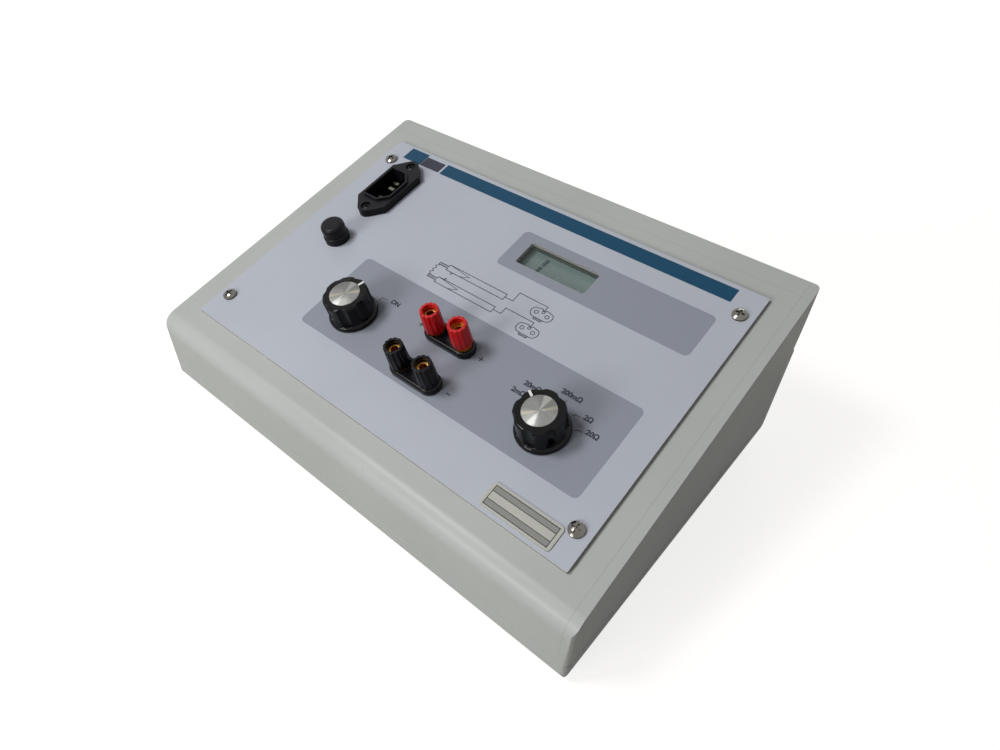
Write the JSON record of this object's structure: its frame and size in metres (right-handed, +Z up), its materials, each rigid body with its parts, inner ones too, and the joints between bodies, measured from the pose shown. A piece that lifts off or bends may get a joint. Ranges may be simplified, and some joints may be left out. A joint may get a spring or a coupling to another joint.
{
  "type": "micro ohmmeter",
  "caption": "Bench four-terminal resistance meter: sloping panel with range and power knobs, binding posts, digital display, fuse holder and mains inlet.",
  "frame": {"origin": "centre of the case's footprint, on the surface that the feet stand on", "axes": "+X to the right along the case's width, +Y to the back, +Z up"},
  "size_m": [0.288, 0.199, 0.1035],
  "materials": {
    "case_plastic": "fine matte grain, warm grey",
    "rubber": "matte black",
    "steel": "zinc plated",
    "chrome": "bright plated",
    "panel_paint": "satin light grey with grey and dark print",
    "aluminium": "spun or satin",
    "clear_glass": "clear, faintly green",
    "display_glass": "grey-green liquid crystal",
    "black_plastic": "satin black",
    "knob_black": "glossy black",
    "red_plastic": "glossy red",
    "board_green": "green solder mask",
    "brass": "machined",
    "core_iron": "varnished sheets",
    "battery_sleeve": "plain orange shrunk sleeve",
    "capacitor_sleeve": "dark blue sleeve"
  },
  "bodies": {
    "case": {"top_cover": "case_plastic", "base_tray": "case_plastic", "rubber_feet": "rubber", "case_screws": "steel", "front_panel": "panel_paint", "panel_screws": "chrome", "serial_plate": "aluminium", "display_window": "clear_glass", "display_frame": "black_plastic", "display_glass": "display_glass", "display_contact_strips": "rubber", "display_board": "board_green", "display_screws": "steel", "inlet_body": "black_plastic", "inlet_pins": "brass", "inlet_screws": "steel", "inlet_nuts": "steel", "fuse_holder_body": "black_plastic", "fuse_holder_nut": "black_plastic", "fuse_holder_contacts": "brass", "power_switch_body": "steel", "power_switch_nut": "steel", "range_switch_body": "steel", "range_switch_nut": "steel", "switch_terminals": "brass", "red_post_plate": "red_plastic", "black_post_plate": "knob_black", "post_studs": "brass", "post_nuts": "brass", "post_tags": "steel", "main_board": "board_green", "board_screws": "steel", "board_chips": "black_plastic", "capacitors": "capacitor_sleeve", "transformer_core": "core_iron", "transformer_coil": "brass", "transformer_bracket": "steel", "battery_holder": "black_plastic", "battery_cells": "battery_sleeve", "battery_contacts": "steel", "floor_screws": "steel"},
    "power_knob_turns": {"power_knob": "knob_black", "power_knob_disc": "aluminium", "power_set_screw": "brass", "power_switch_shaft": "steel"},
    "range_knob_turns": {"range_knob": "knob_black", "range_knob_disc": "aluminium", "range_set_screw": "brass", "range_switch_shaft": "steel"},
    "fuse": {"fuse_tube": "clear_glass", "fuse_ends": "steel"},
    "fuse_cap": {"fuse_cap": "black_plastic"},
    "red_left_insert": {"red_left_insert": "brass"},
    "red_left_cap": {"red_left_cap": "red_plastic"},
    "red_right_insert": {"red_right_insert": "brass"},
    "red_right_cap": {"red_right_cap": "red_plastic"},
    "black_left_insert": {"black_left_insert": "brass"},
    "black_left_cap": {"black_left_cap": "knob_black"},
    "black_right_insert": {"black_right_insert": "brass"},
    "black_right_cap": {"black_right_cap": "knob_black"}
  },
  "joints": [
    {"name": "power_turn", "type": "hinge", "parent": "case", "child": "power_knob_turns", "pos_m": [-0.0472, -0.03888, 0.06372], "axis": [0, -0.2924, 0.9563], "range_deg": [0, 30]},
    {"name": "range_turn", "type": "hinge", "parent": "case", "child": "range_knob_turns", "pos_m": [0.0803, -0.03888, 0.06372], "axis": [0, -0.2924, 0.9563], "range_deg": [-120, 0]},
    {"name": "fuse_pull", "type": "slide", "parent": "case", "child": "fuse", "axis": [0, -0.2924, 0.9563], "range_m": [0, 0.04]},
    {"name": "fuse_cap_turn", "type": "hinge", "parent": "fuse", "child": "fuse_cap", "pos_m": [-0.0989, -0.00484, 0.07413], "axis": [0, -0.2924, 0.9563], "range_deg": [0, 45]},
    {"name": "red_left_rise", "type": "slide", "parent": "case", "child": "red_left_insert", "axis": [0, -0.2924, 0.9563], "range_m": [0, 0.004]},
    {"name": "red_left_turn", "type": "hinge", "parent": "red_left_insert", "child": "red_left_cap", "pos_m": [0.00088, -0.02756, 0.07696], "axis": [0, -0.2924, 0.9563], "range_deg": [0, 1800]},
    {"name": "red_right_rise", "type": "slide", "parent": "case", "child": "red_right_insert", "axis": [0, -0.2924, 0.9563], "range_m": [-0.0018, 0.0022]},
    {"name": "red_right_turn", "type": "hinge", "parent": "red_right_insert", "child": "red_right_cap", "pos_m": [0.01992, -0.02756, 0.07696], "axis": [0, -0.2924, 0.9563], "range_deg": [-810, 990]},
    {"name": "black_left_rise", "type": "slide", "parent": "case", "child": "black_left_insert", "axis": [0, -0.2924, 0.9563], "range_m": [0, 0.004]},
    {"name": "black_left_turn", "type": "hinge", "parent": "black_left_insert", "child": "black_left_cap", "pos_m": [0.00088, -0.05242, 0.06936], "axis": [0, -0.2924, 0.9563], "range_deg": [0, 1800]},
    {"name": "black_right_rise", "type": "slide", "parent": "case", "child": "black_right_insert", "axis": [0, -0.2924, 0.9563], "range_m": [0, 0.004]},
    {"name": "black_right_turn", "type": "hinge", "parent": "black_right_insert", "child": "black_right_cap", "pos_m": [0.01992, -0.05242, 0.06936], "axis": [0, -0.2924, 0.9563], "range_deg": [0, 1800]}
  ],
  "couplings": [
    {"joint": "red_left_turn", "follows": "red_left_rise", "rad_per_m": 7854},
    {"joint": "red_right_turn", "follows": "red_right_rise", "rad_per_m": 7854},
    {"joint": "black_left_turn", "follows": "black_left_rise", "rad_per_m": 7854},
    {"joint": "black_right_turn", "follows": "black_right_rise", "rad_per_m": 7854}
  ]
}
